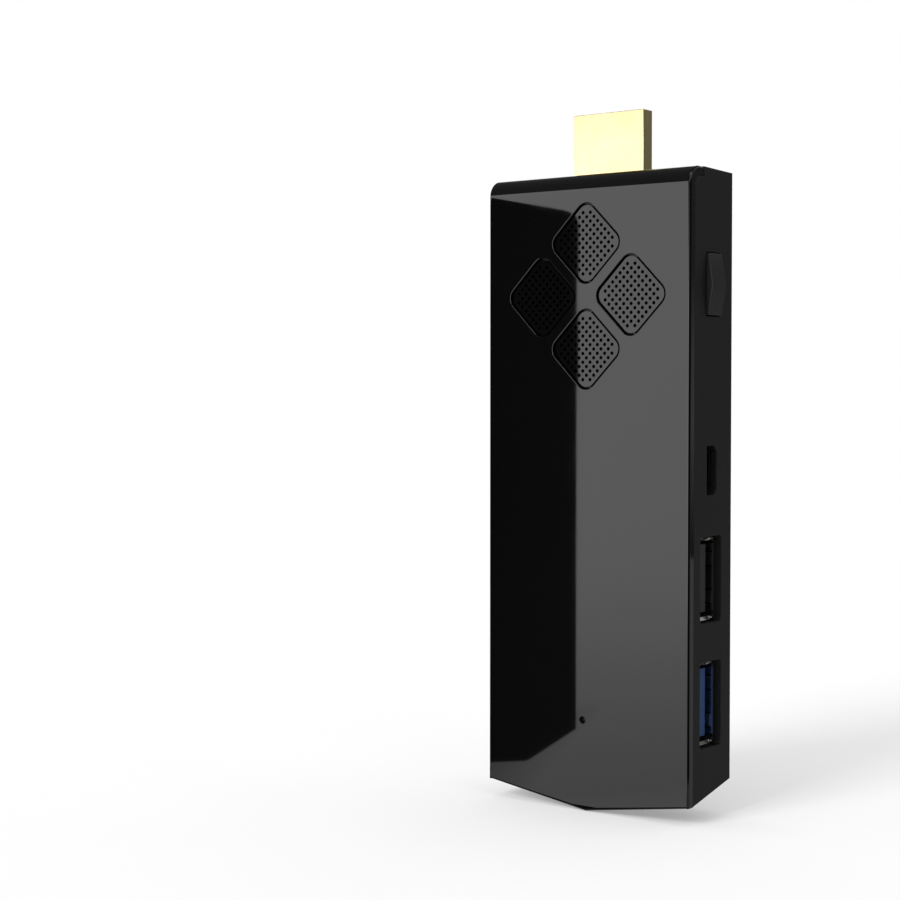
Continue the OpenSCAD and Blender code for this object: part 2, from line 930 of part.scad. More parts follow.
// Power switch: the fixed body on the board, with a pocket for its plunger
module power_switch() {
    body_ends = [switch_x - switch_l, switch_x];
    color("#c9c9c4")
        difference() {
            block(body_ends, [board_front - switch_h, board_front], about(button_s, switch_w));
            plunger_block(2 * fit, plunger_in + plunger_room);
        }
}

module switch_plunger() {
    color("#e8e6df")
        plunger_block(0, plunger_in);
}

// Main board with its notches and screw holes
module main_board() {
    through = [0, case_t];
    button_notch = button_l + 2 * (flange_edge + notch_gap);
    color("#15181a")
        difference() {
            block([-board_x, board_x], [board_front, board_back], [board_top, board_end]);
            for (s = [usb2_s, usb3_s])
                block([usb_back_x - notch_gap, side_x], through, about(s, usb_w + 2 * notch_gap));
            block([stem_x - notch_gap, side_x], through, about(button_s, button_notch));
            for (p = all_points)
                pin(p[0], p[1], 0, case_t, screw_d / 2 + screw_gap);
        }
}

// A screw whose head seats at a given depth
module screw(p, seat) {
    difference() {
        union() {
            pin(p[0], p[1], seat - screw_head_h, seat, screw_head_d / 2);
            pin(p[0], p[1], seat - fit, screw_end, screw_d / 2);
        }
        for (turn = [0, 90])
            slab(seat - screw_head_h - over, seat - screw_head_h / 2)
                translate([p[0], -p[1]])
                    rotate(turn)
                        square([screw_cross_l, screw_cross_w], center = true);
    }
}

module board_screws() {
    color("#b9b9bd")
        for (p = board_points)
            screw(p, board_front);
}

module heat_sink_screws() {
    color("#b9b9bd")
        for (p = sink_points)
            screw(p, sink_seat);
}

module fan_screws() {
    color("#b9b9bd")
        for (p = fan_points)
            screw(p, fan_top);
}

// Processor: a package with its bare die
module processor() {
    top = board_front - cpu_h;
    color("#23472f")
        chip(cpu_x, cpu_s, [cpu_size, cpu_size], [top + cpu_die_h, board_front]);
    color("#6d7278")
        chip(cpu_x, cpu_s, [cpu_die, cpu_die], [top, top + cpu_die_h + fit]);
}

module thermal_pad() {
    size = cpu_die + 2 * pad_edge;
    color("#9aa7b5")
        chip(cpu_x, cpu_s, [size, size], [sink_back, sink_back + pad_t]);
}

// Heat sink: a base with fins along the air's way, cleared round its screws
module heat_sink() {
    ends = [sink_s0, sink_s1];
    step = (sink_x1 - sink_x0 - fin_t) / (fin_count - 1);
    color("#27282a")
        difference() {
            union() {
                block([sink_x0, sink_x1], [sink_seat, sink_back], ends);
                for (i = [0:fin_count - 1])
                    block(about(sink_x0 + fin_t / 2 + i * step, fin_t), [sink_front, sink_back - fit], ends);
            }
            for (p = sink_points) {
                pin(p[0], p[1], 0, case_t, screw_d / 2 + screw_gap);
                pin(p[0], p[1], 0, sink_seat, screw_head_d / 2 + screw_head_room);
            }
        }
}

// Chips on the back of the board behind the processor
module memory_chips() {
    step = memory_size + memory_gap;
    size = [memory_size, memory_size];
    color("#18181a")
        for (col = [-0.5, 0.5], row = [-0.5, 0.5])
            chip(cpu_x + col * step, cpu_s + row * step, size, [board_back, board_back + chip_h]);
}

module storage_chip() {
    color("#18181a")
        chip(storage_x, usb2_s, storage_size, [board_front - chip_h, board_front]);
}

module power_controller() {
    color("#18181a")
        chip(controller_x, controller_s, controller_size, [board_back, board_back + chip_h]);
}

// Chokes in a row between the large sockets
module power_inductors() {
    s = (usb2_s + usb3_s) / 2;
    color("#3a3a3d")
        for (i = [0:inductor_count - 1])
            chip(inductor_x + i * inductor_step, s, inductor_size, [board_front - inductor_h, board_front]);
}

// A row of capacitors beside the small power socket
module capacitors() {
    ends = [board_front - capacitor_h, board_front];
    color("#b08d57")
        for (i = [0:capacitor_count - 1])
            chip(capacitor_x, capacitor_s - i * capacitor_step, capacitor_size, ends);
}

module indicator_led() {
    color("#e8e4c8")
        chip(led_x, led_s, led_size, [board_front - led_h, board_front]);
}

// Fan frame: a square cup on feet, open towards the heat sink, with a tube for the bearing
module fan_cup() {
    difference() {
        slab(fan_top, fan_back)
            translate([0, -fan_s])
                rounded(fan_size, fan_size, fan_corner);
        pin(0, fan_s, 0, fan_floor_d, fan_room_r);
        block(about(0, fan_mouth_w), [0, fan_floor_d], [fan_s, fan_s + fan_size]);
    }
}

module fan_frame() {
    color("#1a1a1c")
        difference() {
            union() {
                fan_cup();
                pin(0, fan_s, tube_front, fan_floor_d + fit, tube_r);
                for (x = [-1, 1], row = [-1, 1])
                    pin(x * fan_hole, fan_s + row * fan_hole, fan_back - fit, board_front, fan_foot_r);
            }
            pin(0, fan_s, tube_front - over, fan_floor_d, bearing_d / 2);
            for (p = fan_points)
                pin(p[0], p[1], 0, case_t, screw_d / 2 + screw_gap);
        }
}

module fan_lid() {
    ends = [fan_front, fan_top];
    color("#27282a")
        difference() {
            union() {
                pin(0, fan_s, fan_front, fan_top, fan_room_r + lid_edge);
                block(about(0, fan_mouth_w + 2 * lid_edge), ends, [fan_s, fan_s + fan_size / 2]);
            }
            pin(0, fan_s, 0, case_t, lid_eye_r);
        }
}

module fan_bearing() {
    color("#b5894b")
        difference() {
            pin(0, fan_s, tube_front, fan_floor_d, bearing_d / 2 - press);
            pin(0, fan_s, 0, case_t, shaft_d / 2 + shaft_clear);
        }
}

// Stator: a ring on the bearing tube with its poles
module fan_stator() {
    color("#6f7378")
        slab(stator_front, stator_back)
            translate([0, -fan_s])
                difference() {
                    union() {
                        circle(r = tube_r + stator_ring);
                        for (i = [0:pole_count - 1])
                            rotate(i * 360 / pole_count)
                                translate([tube_r, -pole_w / 2])
                                    square([stator_r - tube_r, pole_w]);
                    }
                    circle(r = tube_r + fit);
                }
}

// Box about one pole, grown by a margin along the pole and another round it
module pole_box(i, along, round) {
    size = [coil_l + 2 * along, pole_w + 2 * round];
    slab(stator_front - round, stator_back + round)
        translate([0, -fan_s])
            rotate(i * 360 / pole_count)
                translate([stator_r - 2 * fit - coil_l - along, -size[1] / 2])
                    square(size);
}

// Windings, one round each pole
module fan_coils() {
    color("#b5682f")
        for (i = [0:pole_count - 1])
            difference() {
                pole_box(i, 0, coil_w);
                pole_box(i, over, fit);
            }
}

// Rotor: a cup-shaped hub with leaning blades
module fan_blades() {
    intersection() {
        circle(r = rotor_r);
        for (i = [0:blade_count - 1])
            rotate(i * 360 / blade_count)
                translate([hub_r - hub_t / 2, 0])
                    rotate(-blade_lean)
                        square([fan_size / 2, blade_t]);
    }
}

module fan_rotor() {
    color("#202023")
        difference() {
            union() {
                pin(0, fan_s, hub_front, hub_back, hub_r);
                slab(hub_front, blade_back)
                    translate([0, -fan_s])
                        fan_blades();
            }
            difference() {
                pin(0, fan_s, hub_front + hub_t, hub_back + over, hub_r - hub_t);
                pin(0, fan_s, hub_front, hub_boss_back, bearing_d / 2);
            }
            pin(0, fan_s, 0, case_t, shaft_d / 2 + press);
        }
}

module fan_magnet() {
    color("#2b2b2e")
        difference() {
            pin(0, fan_s, hub_front + hub_t, blade_back, magnet_r);
            pin(0, fan_s, 0, case_t, magnet_r - magnet_t);
        }
}

module fan_shaft() {
    color("#c6c8cc")
        pin(0, fan_s, hub_front, fan_floor_d - 2 * fit, shaft_d / 2);
}

// Fan lead: two wires that leave the frame's side and bend down into their connector
module fan_lead() {
    color("#a02020")
        for (row = [-0.5, 0.5])
            translate([connector_x + lead_bend, at_y(connector_front), -lead_s - row * lead_step]) {
                translate([0, -lead_bend, 0])
                    rotate([0, 90, 0])
                        cylinder(h = lead_run, r = lead_r);
                rotate([0, 0, 180])
                    rotate_extrude(angle = 90)
                        translate([lead_bend, 0])
                            circle(r = lead_r);
            }
}

module fan_connector() {
    color("#19191b")
        chip(connector_x, lead_s, connector_size, [connector_front, board_front]);
}

// Video plug: a folded metal tube with two legs on the board
module hdmi_shell() {
    x = hdmi_w / 2;
    leg_ends = [hdmi_in - fit, hdmi_in + hdmi_leg];
    color("#d8b25a") {
        column(-hdmi_out, hdmi_in)
            difference() {
                polygon(plug_outline(0));
                polygon(plug_outline(hdmi_sheet));
            }
        for (side = [-1, 1])
            on_side(side)
                block([x - hdmi_sheet, x], [board_front - hdmi_leg_h, board_front], leg_ends);
    }
}

// One contact of the plug, on the front or the back face of its slot, or the channel for it
module hdmi_contact(x, face, grow) {
    w = hdmi_contact_w + 2 * grow;
    far = hdmi_slot_h / 2 + contact_t;
    bend_s = hdmi_block_s + 2 * fit;
    foot_s = board_top + hdmi_foot;
    mirror([0, face < 0 ? 1 : 0, 0])
        translate([x - w / 2, 0, 0]) {
            translate([0, hdmi_slot_h / 2 - grow, -bend_s])
                cube([w, contact_t + 2 * grow, bend_s + hdmi_out - hdmi_contact_gap]);
            if (grow == 0) {
                translate([0, board_t / 2, -bend_s - contact_t])
                    cube([w, far - board_t / 2, contact_t]);
                translate([0, board_t / 2, -foot_s])
                    cube([w, contact_t, foot_s - bend_s]);
            }
        }
}

module hdmi_rows(grow) {
    for (i = [0:9])
        hdmi_contact((i - 4.5) * hdmi_pitch, -1, grow);
    for (i = [0:8])
        hdmi_contact((i - 4) * hdmi_pitch, 1, grow);
}

module hdmi_insulator() {
    color("#1d1d1f")
        difference() {
            column(hdmi_tip_gap - hdmi_out, hdmi_block_s)
                polygon(plug_outline(hdmi_sheet + contact_fit));
            block(about(0, hdmi_slot_w), about(plug_depth, hdmi_slot_h), [-hdmi_out, -hdmi_slot_floor]);
            hdmi_rows(contact_fit);
        }
}

module hdmi_contacts() {
    color("#c79a3a")
        hdmi_rows(0);
}

// Opening for the spring leaves at one place in both wide faces of a large socket's shell
module leaf_window(x, s) {
    block([x - leaf_l - leaf_slit, x], about(port_depth, 2 * usb_h), about(s, leaf_w + 2 * leaf_slit));
}

// One spring leaf, hinged at the mouth and bent in from the front or the back face
module leaf(x, s, face) {
    translate([x, at_y(port_depth + face * (usb_h - usb_sheet) / 2), -s])
        rotate([0, 0, face * leaf_bend])
            translate([leaf_root - leaf_l, -usb_sheet / 2, -leaf_w / 2])
                cube([leaf_l, usb_sheet, leaf_w]);
}

// One flared tab at an end of a large socket's mouth
module flare(x, s, row) {
    translate([x, at_y(port_depth), -s - row * (usb_w - usb_sheet) / 2])
        rotate([0, row * flare_bend, 0])
            translate([-flare_root, -flare_w / 2, -usb_sheet / 2])
                cube([flare_l + flare_root, flare_w, usb_sheet]);
}

// Large socket's shell: a folded tube with spring leaves, flared ends and two ears on the board
module usb_shell(s) {
    w = usb_w - 2 * usb_sheet;
    h = usb_h - 2 * usb_sheet;
    leaf_x = usb_mouth_x - leaf_from_mouth;
    ear_x = usb_mouth_x - ear_from_mouth;
    flare_x = usb_mouth_x - flare_l;
    ear_d = [board_front - usb_sheet, board_front];
    back_ends = [port_depth - h / 2 - fit, tongue_face - notch_gap];
    difference() {
        bar(usb_back_x, usb_mouth_x)
            translate([port_depth, -s])
                difference() {
                    rounded(usb_h, usb_w, usb_corner);
                    rounded(h, w, usb_corner - usb_sheet);
                }
        for (row = [-1, 1])
            leaf_window(leaf_x, s + row * leaf_at);
        block([flare_x, side_x], about(port_depth, flare_w + 2 * leaf_slit), about(s, 2 * usb_w));
    }
    block([usb_back_x, usb_back_x + usb_sheet], back_ends, about(s, w));
    for (row = [-1, 1]) {
        block([ear_x, ear_x + ear_l], ear_d, about(s + row * (usb_w + ear_w) / 2, ear_w + 2 * fit));
        for (face = [-1, 1])
            leaf(leaf_x, s + row * leaf_at, face);
        flare(flare_x, s, row);
    }
}

// Large socket's tongue on its block, with channels for the contacts
module usb_tongue(s) {
    inset = 2 * (usb_sheet + fit);
    x = usb_back_x + usb_sheet + fit;
    difference() {
        union() {
            bar(x, x + usb_block_l)
                translate([port_depth, -s])
                    rounded(usb_h - inset, usb_w - inset, usb_corner - usb_sheet);
            block(
                [x + usb_block_l - fit, usb_mouth_x - tongue_back],
                [tongue_face, tongue_face + tongue_t],
                about(s, tongue_w)
            );
        }
        usb_contact_set(s, contact_fit);
    }
}

// Contacts of a large socket: strips on the tongue's front face, bent back to feet on the board
module usb_contact_set(s, grow) {
    face = [tongue_face - grow, tongue_face + contact_t + grow];
    for (row = usb2_rows) {
        ends = about(s + row, usb_contact_w + 2 * grow);
        block([usb_bend_x - contact_t, usb_mouth_x - usb_contact_back], face, ends);
        block([usb_bend_x - contact_t, usb_bend_x], [face[0], board_front], ends);
        block([usb_bend_x - usb_foot, usb_bend_x], [board_front - contact_t, board_front], ends);
    }
}

// Second row of contacts at the tip of the blue tongue
module usb3_contact_tips(grow) {
    face = [tongue_face - grow, tongue_face + contact_t + grow];
    for (row = usb3_rows)
        block(
            [usb_mouth_x - usb3_tip[0] - grow, usb_mouth_x - usb3_tip[1] + grow],
            face,
            about(usb3_s + row, usb3_tip_w + 2 * grow)
        );
}

module usb2_shell() {
    color("#a9abad")
        usb_shell(usb2_s);
}

module usb2_tongue() {
    color("#19191b")
        usb_tongue(usb2_s);
}

module usb2_contacts() {
    color("#c79a3a")
        usb_contact_set(usb2_s, 0);
}

module usb3_shell() {
    color("#a9abad")
        usb_shell(usb3_s);
}

module usb3_tongue() {
    color("#123a78")
        difference() {
            usb_tongue(usb3_s);
            usb3_contact_tips(contact_fit);
        }
}

module usb3_contacts() {
    color("#c79a3a") {
        usb_contact_set(usb3_s, 0);
        usb3_contact_tips(0);
    }
}

// Small power socket's shell on the board, with a half-height back above its contacts
module micro_usb_shell() {
    color("#4c4d50") {
        bar(micro_back_x, mouth_x)
            translate([micro_depth, -micro_s])
                difference() {
                    polygon(micro_outline(0));
                    polygon(micro_outline(-micro_sheet));
                }
        bar(micro_back_x, micro_back_x + micro_sheet)
            translate([micro_depth, -micro_s])
                difference() {
                    polygon(micro_outline(-fit));
                    translate([0, -micro_w / 2])
                        square([micro_h, micro_w]);
                }
    }
}

// Contacts of the small socket: strips on the tongue's back face with feet on the board
module micro_contact_set(grow) {
    x = micro_back_x - notch_gap;
    face = [micro_face - micro_contact_t - grow, micro_face + grow];
    for (row = micro_rows) {
        ends = about(micro_s + row, micro_contact_w + 2 * grow);
        block([x - micro_contact_t, mouth_x - micro_contact_back], face, ends);
        block([x - micro_contact_t, x], [face[0], board_front], ends);
        block([x - micro_foot, x], [board_front - micro_contact_t, board_front], ends);
    }
}

module micro_usb_tongue() {
    x = micro_back_x + micro_sheet + fit;
    color("#19191b")
        difference() {
            union() {
                bar(x, x + micro_block_l)
                    translate([micro_depth, -micro_s])
                        polygon(micro_outline(-micro_sheet - fit));
                block(
                    [x + micro_block_l - fit, mouth_x - micro_tongue_back],
                    [micro_depth, micro_face],
                    about(micro_s, micro_tongue_w)
                );
            }
            micro_contact_set(contact_fit);
        }
}

module micro_usb_contacts() {
    color("#c79a3a")
        micro_contact_set(0);
}

// Card socket: a metal lid over a plastic frame with the card's channel
module microsd_shell() {
    ends = [card_x, card_x + card_l];
    skirt = (card_w - card_sheet) / 2;
    color("#b4b6b8") {
        block(ends, [card_front, card_front + card_sheet], about(card_s, card_w));
        for (side = [-1, 1])
            block(ends, [card_front, board_front], about(card_s + side * skirt, card_sheet));
    }
}

module microsd_base() {
    w = card_w - 2 * (card_sheet + fit);
    color("#19191b")
        difference() {
            block([card_x, card_x + card_l], [card_front + card_sheet + fit, board_front], about(card_s, w));
            block(
                [card_x - over, card_x + card_l - card_rail],
                [card_front, card_floor_d],
                about(card_s, w - 2 * card_rail)
            );
        }
}

module microsd_contacts() {
    x = card_x + card_l - card_rail - card_contact_gap;
    color("#c79a3a")
        for (row = card_rows)
            block(
                [x - card_contact[0], x],
                [card_floor_d - card_contact[2], card_floor_d],
                about(card_s + row, card_contact[1])
            );
}

// Radio module, its shield and its antenna on the back
module wifi_module() {
    color("#15181a")
        chip(wifi_x, wifi_s, [wifi_size, wifi_size], [board_back, wifi_top]);
}

module wifi_shield() {
    inside = [can_size[0] - 2 * can_sheet, can_size[1] - 2 * can_sheet];
    color("#b4b6b8")
        difference() {
            chip(wifi_x, can_s, can_size, [wifi_top, wifi_top + can_h]);
            chip(wifi_x, can_s, inside, [wifi_top - over, wifi_top + can_h - can_sheet]);
        }
}

module antenna_socket() {
    color("#c79a3a")
        pin(wifi_x, socket_s, wifi_top, wifi_top + socket_h, socket_r);
}

module antenna() {
    pad_d = [lead_depth - lead_r, back_d - antenna_t + fit];
    color("#3b2f1c") {
        chip(wifi_x, antenna_s, antenna_size, [back_d - antenna_t, back_d]);
        block(about(wifi_x, antenna_pad), pad_d, [antenna_top, antenna_top + antenna_pad]);
    }
}

module antenna_lead() {
    color("#2a2a2c")
        translate([wifi_x, at_y(lead_depth), -antenna_top])
            cylinder(h = antenna_top - socket_s - socket_r - fit, r = lead_r);
}

// Clock battery and the clip that holds it on the board
module rtc_battery() {
    color("#c3c5c8") {
        pin(cell_x, cell_s, board_back + cell_foot, cell_top, cell_r);
        pin(cell_x, cell_s, board_back, board_back + cell_foot + fit, cell_foot_r);
    }
}

module battery_clip() {
    reach = cell_r + clip_gap;
    color("#a9abad") {
        chip(cell_x, cell_s, [2 * (reach + clip_t), clip_w], [cell_top, cell_top + clip_t]);
        for (side = [-1, 1])
            chip(
                cell_x + side * (reach + clip_t / 2),
                cell_s,
                [clip_t, clip_w],
                [board_back, cell_top + clip_t]
            );
    }
}

front_cover();
rear_shell();
vent_grille();
light_pipe();
power_button();
power_switch();
switch_plunger();
main_board();
board_screws();
processor();
thermal_pad();
heat_sink();
heat_sink_screws();
memory_chips();
storage_chip();
power_controller();
power_inductors();
capacitors();
indicator_led();
fan_frame();
fan_lid();
fan_bearing();
fan_stator();
fan_coils();
fan_rotor();
fan_magnet();
fan_shaft();
fan_screws();
fan_lead();
fan_connector();
hdmi_shell();
hdmi_insulator();
hdmi_contacts();
usb2_shell();
usb2_tongue();
usb2_contacts();
usb3_shell();
usb3_tongue();
usb3_contacts();
micro_usb_shell();
micro_usb_tongue();
micro_usb_contacts();
microsd_shell();
microsd_base();
microsd_contacts();
wifi_module();
wifi_shield();
antenna_socket();
antenna();
antenna_lead();
rtc_battery();
battery_clip();
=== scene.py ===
"""Looks of the stick computer: materials, edge rounding, stage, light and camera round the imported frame."""

import math

import bpy
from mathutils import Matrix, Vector


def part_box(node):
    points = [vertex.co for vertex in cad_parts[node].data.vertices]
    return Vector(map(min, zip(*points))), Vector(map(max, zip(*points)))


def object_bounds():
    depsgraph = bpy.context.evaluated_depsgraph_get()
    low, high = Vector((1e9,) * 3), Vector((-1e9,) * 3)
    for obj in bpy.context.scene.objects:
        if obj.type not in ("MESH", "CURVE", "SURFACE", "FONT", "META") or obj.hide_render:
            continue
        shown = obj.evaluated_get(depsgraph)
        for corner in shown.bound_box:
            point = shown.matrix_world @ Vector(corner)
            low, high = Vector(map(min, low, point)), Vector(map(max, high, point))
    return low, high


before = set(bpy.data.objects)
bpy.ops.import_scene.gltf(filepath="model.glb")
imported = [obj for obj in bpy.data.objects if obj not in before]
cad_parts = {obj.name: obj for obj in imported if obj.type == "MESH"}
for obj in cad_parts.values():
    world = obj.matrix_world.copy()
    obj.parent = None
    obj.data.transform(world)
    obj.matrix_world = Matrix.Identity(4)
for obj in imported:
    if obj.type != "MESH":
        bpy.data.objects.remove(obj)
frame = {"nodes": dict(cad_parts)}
cad_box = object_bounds()
nodes = frame["nodes"]
scene = bpy.context.scene

MM = 0.001
FLOOR_Z = cad_box[0].z
# Height of the light panels' low edges, a little above the floor
PANEL_Z = -0.1059
# Edges that turn by more than this are rounded
SHARP = math.radians(40)
# Edges that turn by less than this are shaded smooth
SMOOTH = math.radians(32)


# Camera

def make_camera():
    """The photograph's view: its place, direction and lens."""
    data = bpy.data.cameras.new("camera")
    data.sensor_fit = "HORIZONTAL"
    data.sensor_width = 36.0
    data.lens = 76.33
    data.shift_x = 0.0005
    data.clip_start, data.clip_end = 0.01, 50.0
    camera = bpy.data.objects.new("camera", data)
    scene.collection.objects.link(camera)
    camera.location = (0.17816, -0.27093, -0.03587)
    heading_x, heading_y, pitch = -0.6195, 0.7850, math.radians(-1.80)
    look = Vector((heading_x * math.cos(pitch), heading_y * math.cos(pitch), math.sin(pitch)))
    camera.rotation_euler = look.to_track_quat("-Z", "Y").to_euler()
    scene.camera = camera


# Node trees

def fill(tree, node, inputs):
    """Links each value that is a socket to the node's input, and sets the others on it."""
    for key, value in inputs.items():
        if isinstance(value, bpy.types.NodeSocket):
            tree.links.new(value, node.inputs[key])
        else:
            node.inputs[key].default_value = value


def add_node(tree, kind, inputs=None, **settings):
    node = tree.nodes.new(kind)
    for key, value in settings.items():
        setattr(node, key, value)
    fill(tree, node, inputs or {})
    return node


def modifier_tree(name):
    """An empty tree for a modifier, with the mesh going in and coming out."""
    tree = bpy.data.node_groups.new(name, "GeometryNodeTree")
    for way in ("INPUT", "OUTPUT"):
        tree.interface.new_socket("Geometry", in_out=way, socket_type="NodeSocketGeometry")
    return tree


# Materials

class Look:
    """A principled material with short ways to lay procedural detail on it; sizes are in millimetres."""

    def __init__(self, name, colour, rough, metal=0.0, **sockets):
        self.mat = bpy.data.materials.new(name)
        self.mat.use_nodes = True
        self.tree = self.mat.node_tree
        self.bsdf = self.tree.nodes["Principled BSDF"]
        self.place = self.add("ShaderNodeTexCoord").outputs["Object"]
        self.normal = None
        self.colour = colour
        self.set({"Base Color": (*colour, 1.0), "Roughness": rough, "Metallic": metal, **sockets})

    def set(self, inputs):
        fill(self.tree, self.bsdf, inputs)
        return self

    def add(self, kind, inputs=None, **settings):
        return add_node(self.tree, kind, inputs, **settings)

    def math(self, operation, a, b=0.0):
        return self.add("ShaderNodeMath", {0: a, 1: b}, operation=operation).outputs[0]

    def axis(self, name):
        """The place along one axis of the part's frame, in millimetres."""
        split = self.add("ShaderNodeSeparateXYZ", {0: self.place})
        return self.math("MULTIPLY", split.outputs[name], 1 / MM)

    def scaled(self, size, stretch=(1, 1, 1)):
        scale = [1 / (size * MM * s) for s in stretch]
        return self.add("ShaderNodeMapping", {"Vector": self.place, "Scale": scale}).outputs[0]

    def noise(self, size, detail=3.0, stretch=(1, 1, 1), distortion=0.0):
        at = self.scaled(size, stretch)
        inputs = {"Vector": at, "Scale": 1.0, "Detail": detail, "Distortion": distortion}
        return self.add("ShaderNodeTexNoise", inputs).outputs["Fac"]

    def cells(self, size):
        at = self.scaled(size)
        return self.add("ShaderNodeTexVoronoi", {"Vector": at, "Scale": 1.0}).outputs["Distance"]

    def lines(self, size, axis, distortion=0.0):
        """Even bands across one axis, between 0.6 and 0.75 of the size apart."""
        inputs = {"Vector": self.scaled(size), "Scale": 0.5, "Distortion": distortion}
        return self.add("ShaderNodeTexWave", inputs, bands_direction=axis).outputs["Fac"]

    def band(self, value, low, high, to_low=0.0, to_high=1.0):
        """Runs from to_low to to_high while the value goes from low to high."""
        inputs = {"Value": value, "From Min": low, "From Max": high, "To Min": to_low, "To Max": to_high}
        return self.add("ShaderNodeMapRange", inputs).outputs["Result"]

    def within(self, value, middle, half, soft=0.02):
        """1 within a distance of the middle, 0 outside, with a soft border."""
        off = self.math("ABSOLUTE", self.math("SUBTRACT", value, middle))
        return self.band(off, half + soft, half - soft)

    def edges(self, radius, flat=0.995, sharp=0.85):
        """1 on convex and hollow edges about as round as the radius, 0 on flat ground."""
        soft = self.add("ShaderNodeBevel", {"Radius": radius * MM}, samples=6).outputs[0]
        hard = self.add("ShaderNodeNewGeometry").outputs["Normal"]
        dot = self.add("ShaderNodeVectorMath", {0: soft, 1: hard}, operation="DOT_PRODUCT").outputs["Value"]
        return self.band(dot, flat, sharp)

    def blend(self, factor, a, b):
        """A colour between two others, each given as three numbers or as a socket."""
        ends = [c if isinstance(c, bpy.types.NodeSocket) else (*c, 1.0) for c in (a, b)]
        return self.add("ShaderNodeMix", {0: factor, 6: ends[0], 7: ends[1]}, data_type="RGBA").outputs[2]

    def paint(self, colour):
        return self.set({"Base Color": colour})

    def mottle(self, factor, other):
        """Base colour that runs from the look's own colour to another."""
        return self.paint(self.blend(factor, self.colour, other))

    def roughen(self, factor, low, high):
        return self.set({"Roughness": self.band(factor, 0.0, 1.0, low, high)})

    def bump(self, height, depth):
        """Relief of a given depth; later calls lie on earlier ones."""
        inputs = {"Height": height, "Distance": depth * MM, "Strength": 1.0}
        if self.normal:
            inputs["Normal"] = self.normal
        self.normal = self.add("ShaderNodeBump", inputs).outputs[0]
        return self.set({"Normal": self.normal})


def gloss_black():
    """Lacquered black plastic: a mirror-like skin with faint smears and hairlines."""
    look = Look("gloss_black", (0.0010, 0.0010, 0.0012), rough=0.04, IOR=1.6)
    smear = look.noise(14.0, detail=4.0, stretch=(1.0, 1.0, 2.2), distortion=0.6)
    hair = look.noise(0.12, detail=2.0, stretch=(1.0, 1.0, 90.0))
    marks = look.math("MULTIPLY", look.band(smear, 0.42, 0.75), look.band(hair, 0.55, 0.8))
    dull = look.math("ADD", look.band(smear, 0.35, 0.8, 0.0, 0.5), marks)
    return look.roughen(dull, 0.03, 0.085).bump(look.noise(3.5, detail=1.0), depth=0.0004)


def matt_black():
    """Spark-textured black plastic with rubbed edges."""
    look = Look("matt_black", (0.0060, 0.0060, 0.0062), rough=0.55, **{"Specular IOR Level": 0.30})
    grain = look.noise(0.16)
    cloud = look.noise(9.0)
    worn = look.math("MULTIPLY", look.edges(0.35), look.band(look.noise(1.6), 0.35, 0.75))
    ground = look.blend(cloud, (0.0056, 0.0056, 0.0058), (0.0064, 0.0064, 0.0066))
    look.paint(look.blend(worn, ground, (0.016, 0.016, 0.0165)))
    dull = look.math("SUBTRACT", look.band(grain, 0.3, 0.7), look.math("MULTIPLY", worn, 0.6))
    return look.roughen(dull, 0.42, 0.62).bump(grain, depth=0.010)


def button_black():
    """The key's finer, silkier black."""
    look = Look("button_black", (0.0075, 0.0075, 0.0078), rough=0.45, **{"Specular IOR Level": 0.45})
    grain = look.noise(0.11)
    worn = look.math("MULTIPLY", look.edges(0.4), 0.7)
    look.paint(look.blend(worn, (0.0072, 0.0072, 0.0075), (0.018, 0.018, 0.0185)))
    return look.roughen(look.band(grain, 0.3, 0.7), 0.36, 0.50).bump(grain, depth=0.005)


def smoke_lens():
    """Smoked clear rod with a faint haze."""
    clear = {"Transmission Weight": 0.35, "IOR": 1.45}
    look = Look("smoke_lens", (0.006, 0.0065, 0.0075), rough=0.30, **clear)
    haze = look.noise(0.4)
    look.mottle(haze, (0.012, 0.0125, 0.014))
    return look.roughen(haze, 0.22, 0.40).bump(haze, depth=0.001)


def gold_plate(name="gold_plate", seam=False):
    """Bright gold plate over drawn sheet with fine rub marks, and for the plug a seam down its back."""
    look = Look(name, (1.0, 0.81, 0.42), rough=0.20, metal=1.0)
    drawn = look.noise(0.10, detail=2.0, stretch=(1.0, 1.0, 60.0))
    cloud = look.noise(4.0)
    rub = look.band(look.noise(0.22, detail=2.0, stretch=(1.0, 1.0, 35.0)), 0.58, 0.78)
    look.paint(look.blend(look.band(cloud, 0.3, 0.75), (1.0, 0.82, 0.45), (0.97, 0.78, 0.39)))
    dull = look.math("ADD", look.band(drawn, 0.3, 0.7, 0.0, 0.5), look.math("MULTIPLY", rub, 0.5))
    look.roughen(dull, 0.14, 0.30).bump(drawn, depth=0.0006)
    if seam:
        across = look.math("ABSOLUTE", look.axis("X"))
        back = look.band(look.axis("Y"), 1.9, 2.0)
        groove = look.math("MULTIPLY", look.band(across, 0.10, 0.05), back)
        look.bump(look.math("SUBTRACT", 1.0, groove), depth=0.06)
    return look


def nickel(name, colour, stain):
    """Nickel-plated spring sheet: fine drawn lines, faint staining."""
    look = Look(name, colour, rough=0.24, metal=1.0)
    drawn = look.noise(0.05, detail=2.0, stretch=(30.0, 1.0, 1.0))
    cloud = look.noise(2.6)
    look.mottle(look.band(cloud, 0.3, 0.8), stain)
    dull = look.math("ADD", look.band(drawn, 0.3, 0.7, 0.0, 0.4), look.band(cloud, 0.3, 0.8, 0.0, 0.6))
    return look.roughen(dull, 0.14, 0.22).bump(drawn, depth=0.0002)


def nylon(name, colour, pale):
    """Glass-filled nylon: mottled, with a fine flow grain."""
    look = Look(name, colour, rough=0.48)
    flow = look.noise(0.7, detail=4.0, stretch=(2.5, 1.0, 1.0), distortion=0.4)
    grain = look.noise(0.08, detail=2.0)
    look.mottle(look.band(flow, 0.35, 0.8), pale)
    return look.roughen(flow, 0.36, 0.58).bump(grain, depth=0.004)


